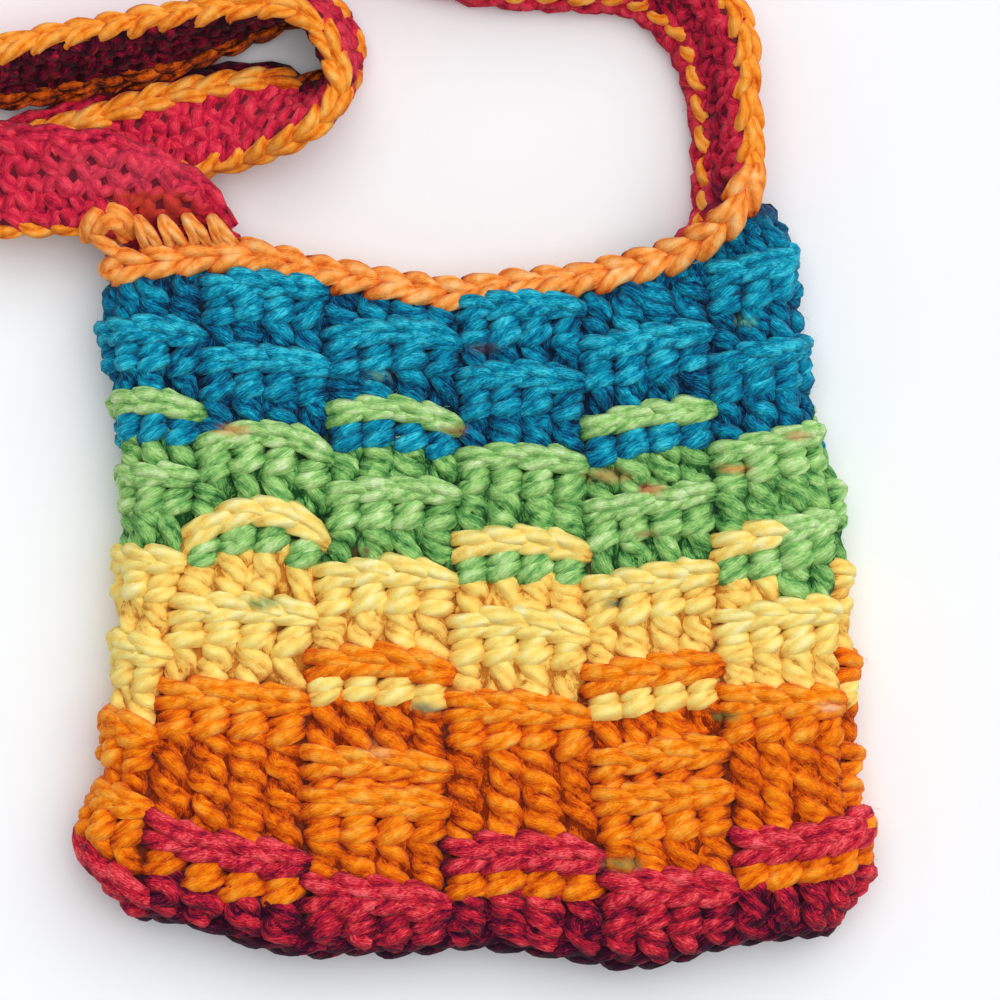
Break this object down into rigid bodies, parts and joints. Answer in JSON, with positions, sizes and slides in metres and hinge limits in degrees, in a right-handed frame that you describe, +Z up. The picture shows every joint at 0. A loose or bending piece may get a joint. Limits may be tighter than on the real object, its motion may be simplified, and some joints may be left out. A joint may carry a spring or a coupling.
{
  "type": "crochet crossbody bag",
  "caption": "Soft crocheted pouch bag lying on its back, in thick basketweave work with raised bars, open at the mouth, with a chain edging and a long crocheted strap laid in loops.",
  "frame": {"origin": "on the surface that the bag lies on, under the middle of the bag's flat back", "axes": "+X across the bag, +Y from its bottom to its mouth, +Z up out of its front"},
  "size_m": [0.3752, 0.3874, 0.0343],
  "materials": {
    "body_yarn": "bulky wool-like yarn in bands of magenta, orange, yellow, green and teal",
    "edging_yarn": "bulky wool-like yarn, light orange",
    "strap_yarn": "bulky wool-like yarn, crimson"
  },
  "bodies": {
    "root": {"bag_body": "body_yarn", "mouth_edging_front": "edging_yarn", "mouth_edging_back": "edging_yarn", "strap": "strap_yarn", "strap_edging_front": "edging_yarn", "strap_edging_back": "edging_yarn", "strap_join": "edging_yarn"}
  },
  "joints": []
}
